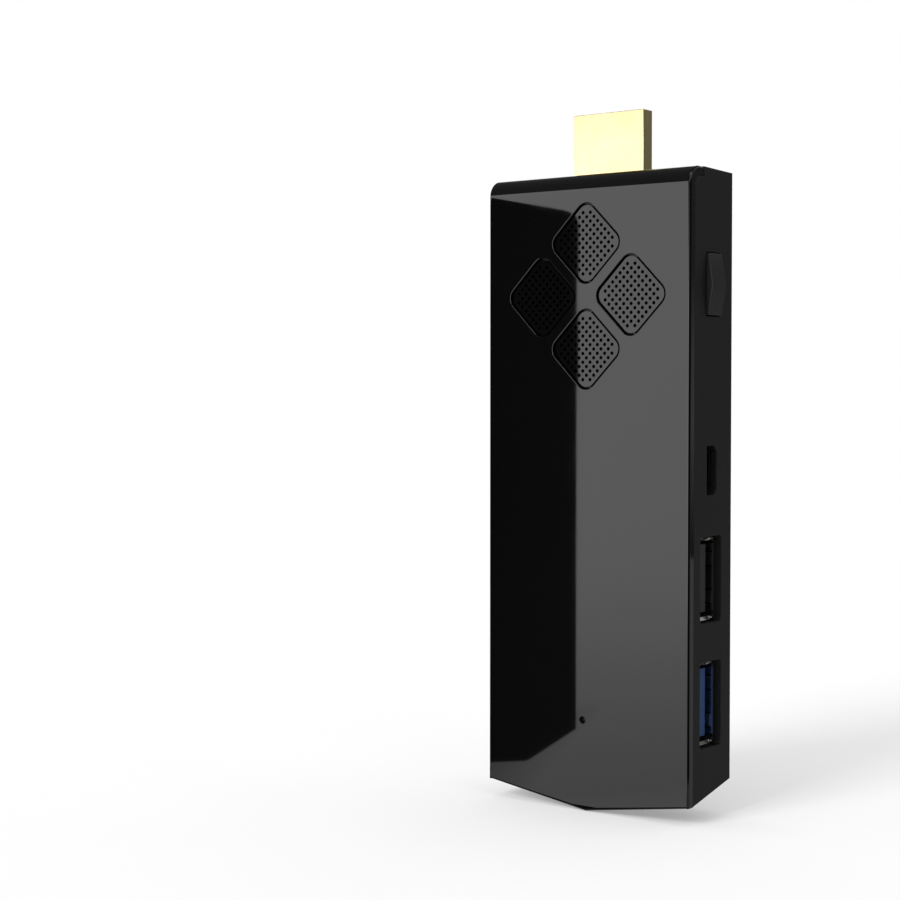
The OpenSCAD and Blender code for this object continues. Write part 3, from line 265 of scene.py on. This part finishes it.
def board_black():
    """Black solder mask over copper tracks, with covered vias."""
    look = Look("board_black", (0.004, 0.0043, 0.0046), rough=0.40)
    tracks = look.band(look.lines(0.9, "X", distortion=1.2), 0.55, 0.62)
    turned = look.band(look.lines(1.1, "Z", distortion=1.2), 0.55, 0.62)
    patch = look.band(look.noise(7.0, detail=1.0), 0.48, 0.52)
    elsewhere = look.math("SUBTRACT", 1.0, patch)
    copper = look.math("ADD", look.math("MULTIPLY", tracks, patch), look.math("MULTIPLY", turned, elsewhere))
    via = look.band(look.cells(2.2), 0.16, 0.12)
    mask = look.blend(copper, (0.0036, 0.0040, 0.0043), (0.0080, 0.0084, 0.0088))
    look.paint(look.blend(via, mask, (0.014, 0.0140, 0.0145)))
    look.roughen(look.noise(0.5), 0.32, 0.48)
    return look.bump(look.math("ADD", copper, look.math("MULTIPLY", via, -0.6)), depth=0.02)


def package_green():
    """Chip carrier with a bright bare die."""
    look = Look("package_green", (0.02, 0.09, 0.05), rough=0.40)
    front_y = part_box("processor")[0].y / MM
    die = look.band(look.axis("Y"), front_y + 0.36, front_y + 0.30)
    speck = look.noise(0.5, detail=4.0)
    carrier = look.blend(speck, (0.018, 0.080, 0.045), (0.028, 0.110, 0.060))
    look.paint(look.blend(die, carrier, (0.16, 0.17, 0.19)))
    look.set({"Metallic": die})
    return look.roughen(speck, 0.22, 0.42).bump(speck, depth=0.002)


def chip_black():
    """Moulded epoxy with its sandy grain."""
    look = Look("chip_black", (0.012, 0.012, 0.013), rough=0.55)
    grain = look.noise(0.06)
    cloud = look.noise(1.8)
    look.mottle(cloud, (0.020, 0.020, 0.021))
    return look.roughen(grain, 0.45, 0.70).bump(grain, depth=0.006)


def pad_grey():
    """Soft gap pad with ceramic filler."""
    look = Look("pad_grey", (0.33, 0.38, 0.44), rough=0.80)
    speck = look.cells(0.18)
    look.mottle(speck, (0.24, 0.28, 0.33))
    return look.roughen(speck, 0.7, 0.9).bump(speck, depth=0.01)


def sink_black():
    """Black-anodised metal with long die lines."""
    look = Look("sink_black", (0.010, 0.010, 0.0105), rough=0.40, metal=0.3)
    die = look.noise(0.10, detail=2.0, stretch=(1.0, 1.0, 80.0))
    cloud = look.noise(5.0)
    look.mottle(cloud, (0.016, 0.0155, 0.016))
    return look.roughen(die, 0.32, 0.50).bump(die, depth=0.0015)


def screw_steel():
    """Zinc-plated screws with a slight straw tint."""
    look = Look("screw_steel", (0.60, 0.60, 0.61), rough=0.28, metal=1.0)
    cloud = look.noise(0.6, detail=4.0)
    look.mottle(cloud, (0.52, 0.51, 0.47))
    return look.roughen(cloud, 0.20, 0.40).bump(look.noise(0.05, detail=2.0), depth=0.0015)


def ceramic_tan():
    """Chip capacitors: fired ceramic with tinned ends."""
    look = Look("ceramic_tan", (0.34, 0.22, 0.11), rough=0.42)
    lo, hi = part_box("capacitors")
    middle = (lo.x + hi.x) / 2 / MM
    body = look.within(look.axis("X"), middle, half=0.48)
    speck = look.noise(0.12)
    fired = look.blend(speck, (0.30, 0.19, 0.09), (0.42, 0.28, 0.15))
    look.paint(look.blend(body, (0.66, 0.66, 0.65), fired))
    look.set({"Metallic": look.math("SUBTRACT", 1.0, body)})
    return look.roughen(speck, 0.30, 0.50).bump(speck, depth=0.003)


def lens_white():
    """Indicator: a white frame round its yellow phosphor."""
    look = Look("lens_white", (0.80, 0.79, 0.74), rough=0.30)
    lo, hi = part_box("indicator_led")
    middle = (lo + hi) / 2 / MM
    inside_x = look.within(look.axis("X"), middle.x, half=0.5)
    inside_z = look.within(look.axis("Z"), middle.z, half=0.26)
    inside = look.math("MULTIPLY", inside_x, inside_z)
    look.mottle(inside, (0.85, 0.62, 0.12))
    return look.roughen(look.noise(0.1), 0.22, 0.40).bump(inside, depth=-0.05)


def bronze():
    """Sintered bronze with its open pores."""
    look = Look("bronze", (0.55, 0.34, 0.14), rough=0.42, metal=1.0)
    pore = look.cells(0.07)
    look.mottle(pore, (0.36, 0.22, 0.09))
    return look.roughen(pore, 0.34, 0.60).bump(pore, depth=0.004)


def core_steel():
    """Stacked stator sheets."""
    look = Look("core_steel", (0.30, 0.31, 0.33), rough=0.42, metal=1.0)
    sheet = look.lines(0.35, "Y")
    look.mottle(look.band(sheet, 0.5, 0.9), (0.16, 0.165, 0.175))
    return look.roughen(look.noise(0.3), 0.34, 0.55).bump(sheet, depth=0.01)


def copper_wire():
    """Enamelled wire, wound side by side."""
    coat = {"Coat Weight": 0.4, "Coat Roughness": 0.15}
    look = Look("copper_wire", (0.78, 0.34, 0.16), rough=0.30, metal=1.0, **coat)
    turns = look.lines(0.12, "DIAGONAL")
    look.mottle(turns, (0.55, 0.20, 0.08))
    return look.roughen(turns, 0.24, 0.40).bump(turns, depth=0.02)


def magnet_grey():
    """Bonded ferrite ring."""
    look = Look("magnet_grey", (0.045, 0.045, 0.048), rough=0.50, metal=0.4)
    speck = look.cells(0.09)
    look.mottle(speck, (0.090, 0.090, 0.094))
    return look.roughen(speck, 0.40, 0.62).bump(speck, depth=0.003)


def shaft_steel():
    """Ground shaft with its fine rings."""
    look = Look("shaft_steel", (0.70, 0.71, 0.72), rough=0.16, metal=1.0)
    rings = look.noise(0.03, detail=2.0, stretch=(40.0, 1.0, 40.0))
    look.mottle(rings, (0.62, 0.63, 0.64))
    return look.roughen(rings, 0.10, 0.24).bump(rings, depth=0.0005)


def wire_pair():
    """Two insulated wires, one red and one black."""
    look = Look("wire_pair", (0.36, 0.012, 0.010), rough=0.38)
    lo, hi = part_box("fan_lead")
    middle = (lo.z + hi.z) / 2 / MM
    black = look.band(look.axis("Z"), middle + 0.05, middle - 0.05)
    skin = look.noise(0.15)
    red = look.blend(skin, (0.33, 0.010, 0.008), (0.42, 0.018, 0.014))
    look.paint(look.blend(black, red, (0.014, 0.014, 0.015)))
    return look.roughen(skin, 0.30, 0.48).bump(skin, depth=0.004)


def ivory():
    """Cream moulded plastic with faint flow clouds."""
    look = Look("ivory", (0.72, 0.68, 0.56), rough=0.42)
    flow = look.noise(0.9, stretch=(1.0, 1.0, 2.0), distortion=0.3)
    look.mottle(flow, (0.64, 0.60, 0.48))
    return look.roughen(flow, 0.34, 0.52).bump(look.noise(0.07, detail=2.0), depth=0.003)


def antenna_film():
    """Amber film with a printed copper pattern under it."""
    look = Look("antenna_film", (0.28, 0.15, 0.03), rough=0.32)
    strip = look.band(look.lines(2.2, "Z"), 0.45, 0.5)
    sheen = look.noise(0.8)
    film = look.blend(sheen, (0.25, 0.13, 0.025), (0.33, 0.18, 0.04))
    look.paint(look.blend(strip, film, (0.50, 0.24, 0.07)))
    return look.roughen(sheen, 0.24, 0.42).bump(strip, depth=0.02)


def lead_black():
    """Thin coaxial lead's jacket."""
    look = Look("lead_black", (0.012, 0.012, 0.012), rough=0.42)
    skin = look.noise(0.2, stretch=(1.0, 1.0, 4.0))
    look.mottle(skin, (0.022, 0.022, 0.022))
    return look.roughen(skin, 0.34, 0.52).bump(skin, depth=0.003)


def cell_steel():
    """Polished can of the clock battery, with spun rings."""
    look = Look("cell_steel", (0.70, 0.70, 0.69), rough=0.18, metal=1.0)
    lo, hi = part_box("rtc_battery")
    middle = (lo + hi) / 2 / MM
    radians_per_mm = 60.0
    dx = look.math("POWER", look.math("SUBTRACT", look.axis("X"), middle.x), 2.0)
    dz = look.math("POWER", look.math("SUBTRACT", look.axis("Z"), middle.z), 2.0)
    radius = look.math("SQRT", look.math("ADD", dx, dz))
    rings = look.math("SINE", look.math("MULTIPLY", radius, radians_per_mm))
    look.mottle(look.band(rings, -1.0, 1.0), (0.62, 0.62, 0.61))
    return look.roughen(look.noise(1.2), 0.12, 0.30).bump(rings, depth=0.0008)


# Pieces

def wardrobe():
    """Each look with the nodes that wear it, and the rounding of their edges in millimetres."""
    black = ((0.014, 0.014, 0.015), (0.022, 0.022, 0.023))
    blue = ((0.008, 0.036, 0.120), (0.012, 0.045, 0.150))
    bright = ((0.66, 0.65, 0.62), (0.56, 0.55, 0.52))
    dark = ((0.16, 0.16, 0.165), (0.12, 0.12, 0.12))
    return [
        (gloss_black(), {"front_cover": 0.50, "vent_grille": 0.0}),
        (matt_black(), {"rear_shell": 0.12}),
        (button_black(), {"power_button": 0.16}),
        (smoke_lens(), {"light_pipe": 0.05}),
        (gold_plate("gold_shell", seam=True), {"hdmi_shell": 0.10}),
        (gold_plate(), {
            "hdmi_contacts": 0.04, "usb2_contacts": 0.04, "usb3_contacts": 0.04,
            "micro_usb_contacts": 0.03, "microsd_contacts": 0.04, "antenna_socket": 0.05}),
        (nylon("black_nylon", *black), {
            "hdmi_insulator": 0.04, "usb2_tongue": 0.05, "micro_usb_tongue": 0.04,
            "microsd_base": 0.05, "fan_frame": 0.08, "fan_rotor": 0.05, "fan_connector": 0.06}),
        (nylon("blue_nylon", *blue), {"usb3_tongue": 0.05}),
        (nickel("nickel_sheet", *bright), {
            "usb2_shell": 0.06, "usb3_shell": 0.06, "microsd_shell": 0.05, "wifi_shield": 0.06,
            "battery_clip": 0.06}),
        (nickel("dark_nickel", *dark), {"micro_usb_shell": 0.05}),
        (board_black(), {"main_board": 0.05, "wifi_module": 0.05}),
        (package_green(), {"processor": 0.05}),
        (chip_black(), {
            "memory_chips": 0.06, "storage_chip": 0.06, "power_controller": 0.06, "power_inductors": 0.12}),
        (pad_grey(), {"thermal_pad": 0.06}),
        (sink_black(), {"heat_sink": 0.06, "fan_lid": 0.08}),
        (screw_steel(), {"board_screws": 0.06, "heat_sink_screws": 0.06, "fan_screws": 0.06}),
        (ceramic_tan(), {"capacitors": 0.06}),
        (lens_white(), {"indicator_led": 0.05}),
        (bronze(), {"fan_bearing": 0.05}),
        (core_steel(), {"fan_stator": 0.04}),
        (copper_wire(), {"fan_coils": 0.08}),
        (magnet_grey(), {"fan_magnet": 0.05}),
        (shaft_steel(), {"fan_shaft": 0.06}),
        (wire_pair(), {"fan_lead": 0.04}),
        (ivory(), {"power_switch": 0.06, "switch_plunger": 0.06}),
        (antenna_film(), {"antenna": 0.04}),
        (lead_black(), {"antenna_lead": 0.04}),
        (cell_steel(), {"rtc_battery": 0.10}),
    ]


def chosen_rims():
    """The rims of the case's two halves that are rounded, each by a share of its piece's rounding."""
    front_y, back_y = cad_box[0].y, cad_box[1].y
    inset = 0.05 * MM
    on_front = ((0, -1, 0), -front_y - inset)
    on_back = ((0, 1, 0), back_y - inset)
    on_roll = ((0, -1, 1), -front_y - 3.2 * MM)
    at_plug_end = ((0, 0, 1), -inset)
    at_point = ((0, 0, -1), 102.5 * MM)
    at_cover_side = ((1, 0, 0), 19.4 * MM)
    at_shell_side = ((1, 0, 0), 19.95 * MM)
    cover = [
        (0.28, [on_front]),
        (1.0, [on_front, at_point]),
        (0.8, [at_cover_side, on_roll]),
        (0.8, [at_plug_end]),
    ]
    shell = [
        (1.0, [at_shell_side]),
        (1.0, [on_back]),
    ]
    return {
        "front_cover": edge_choice("cover_edges", cover),
        "rear_shell": edge_choice("shell_edges", shell),
    }


def dress():
    """Gives every node its look and its rounded edges."""
    chosen = chosen_rims()
    smooth = smoothing()
    for look, worn_by in wardrobe():
        for name, radius in worn_by.items():
            piece = nodes.pop(name)
            piece.material_slots[0].material = look.mat
            round_edges(piece, radius * MM, smooth, chosen.get(name))
    if nodes:
        raise SystemExit(f"no look for {sorted(nodes)}")


def smoothing():
    """Modifier tree that drops stored normals and shades the mesh smooth but for its sharper edges."""
    tree = modifier_tree("smooth_by_angle")
    start = add_node(tree, "NodeGroupInput").outputs[0]
    stored = {"Geometry": start, "Name": "custom_normal"}
    bare = add_node(tree, "GeometryNodeRemoveAttribute", stored).outputs[0]
    faces = add_node(tree, "GeometryNodeSetShadeSmooth", {"Geometry": bare}).outputs[0]
    turn = add_node(tree, "GeometryNodeInputMeshEdgeAngle").outputs["Unsigned Angle"]
    steep = add_node(tree, "FunctionNodeCompare", {0: turn, 1: SMOOTH}).outputs[0]
    creased = {"Geometry": faces, "Selection": steep, "Shade Smooth": False}
    edges = add_node(tree, "GeometryNodeSetShadeSmooth", creased, domain="EDGE").outputs[0]
    add_node(tree, "NodeGroupOutput", {0: edges})
    return tree


def edge_choice(name, rules):
    """Modifier tree that weighs a mesh's sharp edges by rules for where they lie.

    A rule is a weight and the planes, each a normal and a distance, that an edge has to lie past.
    Left and right count alike, and where rules meet the larger weight holds.
    """
    tree = modifier_tree(name)

    def add(kind, inputs=None, **settings):
        return add_node(tree, kind, inputs, **settings).outputs

    turn = add("GeometryNodeInputMeshEdgeAngle")["Unsigned Angle"]
    steep = add("ShaderNodeMath", {0: turn, 1: SHARP}, operation="GREATER_THAN")[0]
    place = add("GeometryNodeInputPosition")[0]
    folded = add("ShaderNodeVectorMath", {0: place}, operation="ABSOLUTE")[0]
    side_x = add("ShaderNodeSeparateXYZ", {0: folded})[0]
    axes = add("ShaderNodeSeparateXYZ", {0: place})
    spot = add("ShaderNodeCombineXYZ", {0: side_x, 1: axes[1], 2: axes[2]})[0]
    total = None
    for weight, planes in rules:
        value = add("ShaderNodeMath", {0: steep, 1: weight}, operation="MULTIPLY")[0]
        for normal, distance in planes:
            dot = add("ShaderNodeVectorMath", {0: spot, 1: normal}, operation="DOT_PRODUCT")["Value"]
            past = add("ShaderNodeMath", {0: dot, 1: distance}, operation="GREATER_THAN")[0]
            value = add("ShaderNodeMath", {0: value, 1: past}, operation="MULTIPLY")[0]
        total = add("ShaderNodeMath", {0: total, 1: value}, operation="MAXIMUM")[0] if total else value
    start = add("NodeGroupInput")[0]
    weights = {"Geometry": start, "Name": "bevel_weight_edge", "Value": total}
    weighed = add("GeometryNodeStoreNamedAttribute", weights, domain="EDGE", data_type="FLOAT")[0]
    add("NodeGroupOutput", {0: weighed})
    return tree


def round_edges(piece, radius, smooth, choice):
    """Joins the mesh, merges flat faces and rounds its sharp or chosen edges, all as modifiers."""
    weld = piece.modifiers.new("weld", "WELD")
    weld.merge_threshold = 1e-6
    if radius:
        flat = piece.modifiers.new("flat", "DECIMATE")
        flat.decimate_type = "DISSOLVE"
        flat.angle_limit = math.radians(0.4)
        if choice:
            piece.modifiers.new("choice", "NODES").node_group = choice
        bevel = piece.modifiers.new("round", "BEVEL")
        bevel.width = radius
        bevel.segments = 4 if choice else 2
        bevel.limit_method = "WEIGHT" if choice else "ANGLE"
        bevel.angle_limit = SHARP
        bevel.use_clamp_overlap = choice is None
        bevel.loop_slide = False
    shade = piece.modifiers.new("shade", "NODES")
    shade.node_group = smooth
    even = piece.modifiers.new("even", "WEIGHTED_NORMAL")
    even.keep_sharp = True


# Stage

def stage_mesh(name, points, faces):
    mesh = bpy.data.meshes.new(name)
    mesh.from_pydata(points, [], faces)
    piece = bpy.data.objects.new(name, mesh)
    scene.collection.objects.link(piece)
    return piece


def make_floor():
    """A plain pale floor, dimmer in reflections and seen through from below."""
    reach = 30.0
    z = FLOOR_Z - 0.05 * MM
    corners = [(-reach, -reach, z), (reach, -reach, z), (reach, reach, z), (-reach, reach, z)]
    floor = stage_mesh("floor", corners, [range(len(corners))])
    look = Look("floor", (0.54, 0.54, 0.54), rough=0.9, **{
        "Specular IOR Level": 0.0, "Emission Color": (1.0, 1.0, 1.0, 1.0), "Emission Strength": 0.29})
    look.mottle(look.noise(30.0, detail=2.0), (0.53, 0.53, 0.53))
    mirrored = look.add("ShaderNodeLightPath").outputs["Is Glossy Ray"]
    dim = look.add("ShaderNodeBsdfDiffuse", {"Color": (0.26, 0.26, 0.26, 1.0)}).outputs[0]
    ground = look.add("ShaderNodeMixShader", {0: mirrored, 1: look.bsdf.outputs[0], 2: dim}).outputs[0]
    clear = look.add("ShaderNodeBsdfTransparent").outputs[0]
    below = look.add("ShaderNodeNewGeometry").outputs["Backfacing"]
    mix = look.add("ShaderNodeMixShader", {0: below, 1: ground, 2: clear}).outputs[0]
    fill(look.tree, look.tree.nodes["Material Output"], {"Surface": mix})
    floor.data.materials.append(look.mat)


def make_flag():
    """A black studio flag beside the part, seen only as the dark part of the gloss cover's reflection."""
    half, shoulder, point = 0.020, -0.103, -0.106
    # How far back each slice of the flag lies, and how high its top edge is
    slices = [(-0.0089, -0.0034), (-0.0084, -0.0018), (-0.0074, -0.0009), (-0.0059, -0.0004),
              (0.0049, -0.0004)]
    corners = []
    for y, top in slices:
        corners += [(-half, y, top), (half, y, top)]
        corners += [(half, y, shoulder), (0.0, y, point), (-half, y, shoulder)]
    around = len(corners) // len(slices)
    faces = [list(range(around)), [len(corners) - 1 - i for i in range(around)]]
    for first in range(0, len(corners) - around, around):
        for i in range(around):
            j = (i + 1) % around
            faces.append([first + i, first + around + i, first + around + j, first + j])
    flag = stage_mesh("flag", corners, faces)
    flag.location = (-0.0415, -0.0366, 0.0)
    flag.rotation_euler = (0.0, 0.0, math.radians(82.9))
    look = Look("flag", (0.004, 0.004, 0.004), rough=0.9)
    look.mottle(look.noise(5.0), (0.005, 0.005, 0.005))
    flag.data.materials.append(look.mat)
    flag.visible_camera = flag.visible_diffuse = flag.visible_shadow = flag.visible_transmission = False


def glow_panel(name, rows, levels):
    """A sheet through rows of points that glows at the levels given for them, hidden from the camera."""
    wide = len(rows[0])
    faces = []
    for first in range(0, wide * (len(rows) - 1), wide):
        for i in range(first, first + wide - 1):
            faces.append([i, i + 1, i + 1 + wide, i + wide])
    panel = stage_mesh(name, [p for row in rows for p in row], faces)
    glows = panel.data.attributes.new("level", "FLOAT", "POINT")
    for i, level in enumerate(level for row in levels for level in row):
        glows.data[i].value = level
    mat = bpy.data.materials.new(name)
    mat.use_nodes = True
    tree = mat.node_tree
    tree.nodes.remove(tree.nodes["Principled BSDF"])
    told = add_node(tree, "ShaderNodeAttribute", attribute_name="level").outputs["Fac"]
    glow = add_node(tree, "ShaderNodeEmission", {"Strength": told}).outputs[0]
    fill(tree, tree.nodes["Material Output"], {"Surface": glow})
    panel.data.materials.append(mat)
    panel.visible_camera = panel.visible_shadow = panel.visible_diffuse = False


def make_sweep(near_y):
    """The bright sheet that rises from the floor in front of the part to a wall at the front left."""
    out, along = Vector((-0.62, -0.785, 0.0)), Vector((0.785, -0.62, 0.0))
    near_x = (-0.25, -0.036, -0.014, 0.0195)
    sides = (-0.32, -0.02, 0.02, 0.30)
    # How far out each further row lies, how high it is and how bright
    steps = [(0.12, -0.1058, 1.22), (0.22, -0.1050, 1.46), (0.32, -0.1035, 1.62), (0.38, -0.0980, 1.70),
             (0.41, -0.0800, 1.75), (0.42, 0.0, 1.80), (0.425, 0.085, 1.80)]
    # The near row at the foot glows dimmer, most at the left: a painted shadow of the floor near the part,
    # deepest under the flag.
    rows = [[Vector((x, near_y, PANEL_Z)) for x in near_x]]
    levels = [(0.22, 0.25, 0.95, 1.15)]
    for far, z, level in steps:
        rows.append([out * far + along * side + Vector((0, 0, z)) for side in sides])
        levels.append((level,) * len(sides))
    glow_panel("sweep", rows, levels)


def make_panels():
    """Sheets that reflections see: the sweep at the front left, the room's lighter and darker sides, and a
    dim sheet at the foot that is a painted contact shadow.
    """
    near_y = -0.0118
    make_sweep(near_y)
    beside_z = (FLOOR_Z, -0.05, -0.02, 0.015, 0.10, 0.15, 0.40)
    front = [[(0.0, -0.30, PANEL_Z), (0.14, -0.30, PANEL_Z)]]
    front += [[(-0.03, -0.53, z), (0.21, -0.53, z)] for z in (-0.1030, 0.12)]
    hub = [(0.035, -0.05), (0.045, -0.04), (0.055, 0.0), (0.052, 0.02)]
    ring = [(0.26, -0.60), (0.50, -0.45), (0.62, 0.0), (0.60, 0.25)]
    night = [[(*xy, PANEL_Z) for xy in hub]]
    night += [[(*xy, z) for xy in ring] for z in (PANEL_Z, 0.12, 0.18, 0.50)]
    walls = [
        ("overhead", [[(0.04, y, 0.50), (0.36, y, 0.50)] for y in (-0.46, -0.14)], (2.2, 2.2)),
        ("behind", [[(-0.42, 0.12, z), (-0.06, 0.46, z)] for z in (FLOOR_Z, 0.10, 0.20)], (1.2, 1.4, 1.2)),
        ("beside", [[(0.035, 0.556, z), (0.465, 0.304, z)] for z in beside_z],
         (0.05, 0.30, 0.26, 0.10, 0.10, 0.55, 0.65)),
        ("front", front, (1.4, 2.2, 3.0)),
        # A dim sheet at the foot: a painted contact shadow for the low edges to reflect.
        ("painted_contact_shadow", [[(-0.03, y, PANEL_Z), (0.03, y, PANEL_Z)] for y in (near_y, -0.0091)], (0.02, 0.02)),
        ("night", night, (0.03, 0.03, 0.03, 0.6, 0.9)),
    ]
    for name, rows, levels in walls:
        glow_panel(name, rows, [(level,) * len(row) for row, level in zip(rows, levels)])


def make_light():
    """A low front light, and a room that is white to the eye and on the ground, and dim in reflections."""
    data = bpy.data.lights.new("front", "SUN")
    data.angle = math.radians(24)
    data.energy = 2.0
    sun = bpy.data.objects.new("front", data)
    scene.collection.objects.link(sun)
    aim = Vector((0.10, 0.83, -0.55))
    sun.rotation_euler = aim.to_track_quat("-Z", "Y").to_euler()
    sun.visible_glossy = False
    world = bpy.data.worlds.new("room")
    scene.world = world
    world.use_nodes = True
    tree = world.node_tree
    ray = add_node(tree, "ShaderNodeLightPath")
    room = tree.nodes["Background"]
    fill(tree, room, {"Color": (0.125, 0.125, 0.128, 1.0)})
    shade = room.outputs[0]
    for kind in ("Is Diffuse Ray", "Is Camera Ray"):
        white = add_node(tree, "ShaderNodeBackground", {"Color": (1.0, 1.0, 1.0, 1.0)}).outputs[0]
        shade = add_node(tree, "ShaderNodeMixShader", {0: ray.outputs[kind], 1: shade, 2: white}).outputs[0]
    fill(tree, tree.nodes["World Output"], {"Surface": shade})


make_camera()
dress()
make_floor()
make_flag()
make_panels()
make_light()
scene.view_settings.view_transform = "Standard"
